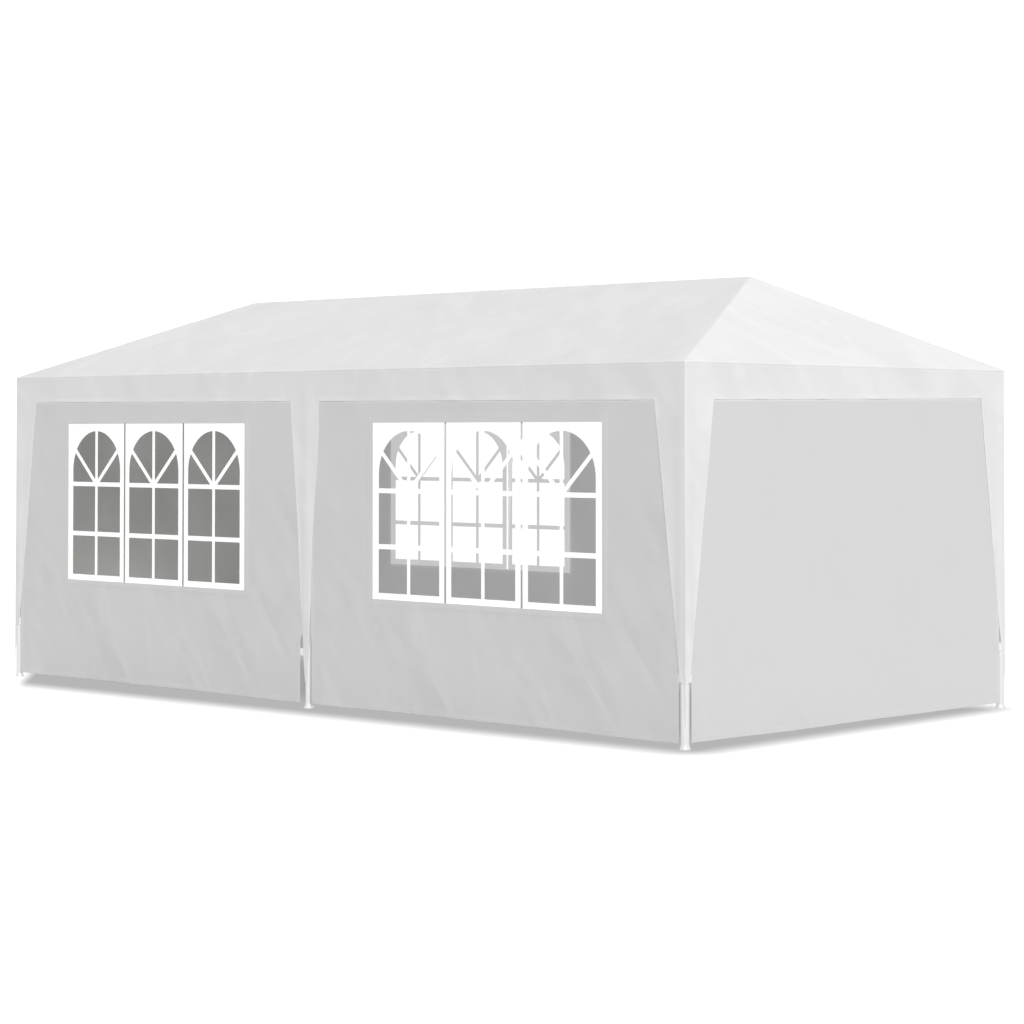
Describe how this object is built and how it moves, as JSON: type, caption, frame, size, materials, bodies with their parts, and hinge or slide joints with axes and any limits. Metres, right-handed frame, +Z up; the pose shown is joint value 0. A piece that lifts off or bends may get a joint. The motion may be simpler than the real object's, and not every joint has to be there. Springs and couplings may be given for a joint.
{
  "type": "marquee tent",
  "caption": "White marquee tent: tubular legs, hipped tube frame, cloth cover with valance and leg strips, hanging walls with arched windows.",
  "frame": {"origin": "on the ground, in the middle of the plan", "axes": "+X along the length, -Y out of the front long side, +Z up"},
  "size_m": [6.0094, 2.9594, 2.5679],
  "materials": {
    "tube_paint": "white powder coat, satin",
    "connector_plastic": "white moulded plastic",
    "cover_cloth": "white woven polyethylene sheet with a coated face",
    "wall_cloth": "white woven polyethylene sheet, lightly creased",
    "window_film": "clear flexible film with a white print"
  },
  "bodies": {
    "root": {"leg_front_left": "tube_paint", "leg_front_middle": "tube_paint", "leg_front_right": "tube_paint", "leg_back_left": "tube_paint", "leg_back_middle": "tube_paint", "leg_back_right": "tube_paint", "eave_tube_front_left": "tube_paint", "eave_tube_front_right": "tube_paint", "eave_tube_back_left": "tube_paint", "eave_tube_back_right": "tube_paint", "eave_tube_left_end": "tube_paint", "eave_tube_right_end": "tube_paint", "hip_rafter_front_left": "tube_paint", "hip_rafter_front_right": "tube_paint", "hip_rafter_back_left": "tube_paint", "hip_rafter_back_right": "tube_paint", "middle_rafter_front": "tube_paint", "middle_rafter_back": "tube_paint", "ridge_tube_left": "tube_paint", "ridge_tube_right": "tube_paint", "corner_connector_front_left": "connector_plastic", "corner_connector_front_right": "connector_plastic", "corner_connector_back_left": "connector_plastic", "corner_connector_back_right": "connector_plastic", "eave_connector_front": "connector_plastic", "eave_connector_back": "connector_plastic", "ridge_connector_left": "connector_plastic", "ridge_connector_middle": "connector_plastic", "ridge_connector_right": "connector_plastic", "roof_front": "cover_cloth", "roof_back": "cover_cloth", "roof_left_hip": "cover_cloth", "roof_right_hip": "cover_cloth", "valance_front": "cover_cloth", "valance_back": "cover_cloth", "valance_left": "cover_cloth", "valance_right": "cover_cloth", "corner_strip_front_left": "cover_cloth", "corner_strip_front_right": "cover_cloth", "corner_strip_back_left": "cover_cloth", "corner_strip_back_right": "cover_cloth", "middle_strip_front": "cover_cloth", "middle_strip_back": "cover_cloth", "wall_front_left": "wall_cloth", "wall_front_right": "wall_cloth", "wall_back_left": "wall_cloth", "wall_back_right": "wall_cloth", "wall_left": "wall_cloth", "wall_right": "wall_cloth", "window_film_front_left": "window_film", "window_film_front_right": "window_film", "window_film_back_left": "window_film", "window_film_back_right": "window_film"}
  },
  "joints": []
}
